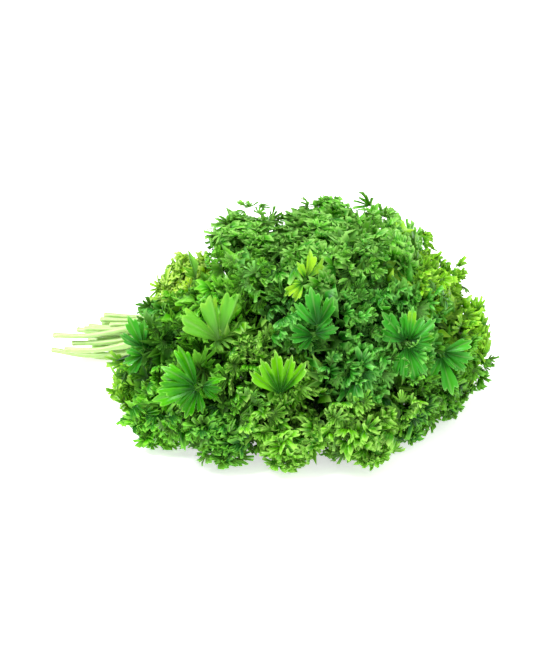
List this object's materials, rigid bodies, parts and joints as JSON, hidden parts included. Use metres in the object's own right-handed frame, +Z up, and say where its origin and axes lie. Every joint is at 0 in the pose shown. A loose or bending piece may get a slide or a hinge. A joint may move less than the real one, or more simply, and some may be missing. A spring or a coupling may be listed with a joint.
{
  "type": "parsley bunch",
  "caption": "Bunch of curly parsley lying on its side: pale cut stems at one end fan out into a dense mound of crisped green leaflets",
  "frame": {"origin": "middle of the object's box in plan, on the surface that it lies on", "axes": "+X from the cut stem ends to the far end of the leaves, +Y across the bunch, +Z up"},
  "size_m": [0.1994, 0.1737, 0.0966],
  "materials": {
    "stem": "pale yellow-green leaf stalk, smooth and slightly moist",
    "leaf_mid": "mid-green leaf blade, satin",
    "leaf_light": "light yellow-green leaf blade, satin",
    "leaf_dark": "dark green leaf blade, satin"
  },
  "bodies": {
    "root": {"stem_01": "stem", "stem_02": "stem", "stem_03": "stem", "stem_04": "stem", "stem_05": "stem", "stem_06": "stem", "stem_07": "stem", "stem_08": "stem", "stem_09": "stem", "stem_10": "stem", "stem_11": "stem", "stem_12": "stem", "stem_13": "stem", "stem_14": "stem", "stem_15": "stem", "stem_16": "stem", "stem_17": "stem", "stem_18": "stem", "stem_19": "stem", "stem_20": "stem", "stem_21": "stem", "stem_22": "stem", "stem_23": "stem", "stem_24": "stem", "stem_25": "stem", "stem_26": "stem", "stem_27": "stem", "stem_28": "stem", "stem_29": "stem", "stem_30": "stem", "leaf_01": "leaf_light", "leaf_02": "leaf_mid", "leaf_03": "leaf_dark", "leaf_04": "leaf_light", "leaf_05": "leaf_light", "leaf_06": "leaf_dark", "leaf_07": "leaf_dark", "leaf_08": "leaf_light", "leaf_09": "leaf_mid", "leaf_10": "leaf_dark", "leaf_11": "leaf_dark", "leaf_12": "leaf_mid", "leaf_13": "leaf_light", "leaf_14": "leaf_dark", "leaf_15": "leaf_dark", "leaf_16": "leaf_light", "leaf_17": "leaf_light", "leaf_18": "leaf_mid", "leaf_19": "leaf_light", "leaf_20": "leaf_mid", "leaf_21": "leaf_dark", "leaf_22": "leaf_dark", "leaf_23": "leaf_light", "leaf_24": "leaf_mid", "leaf_25": "leaf_mid", "leaf_26": "leaf_dark", "leaf_27": "leaf_mid", "leaf_28": "leaf_dark", "leaf_29": "leaf_mid", "leaf_30": "leaf_mid"}
  },
  "joints": []
}
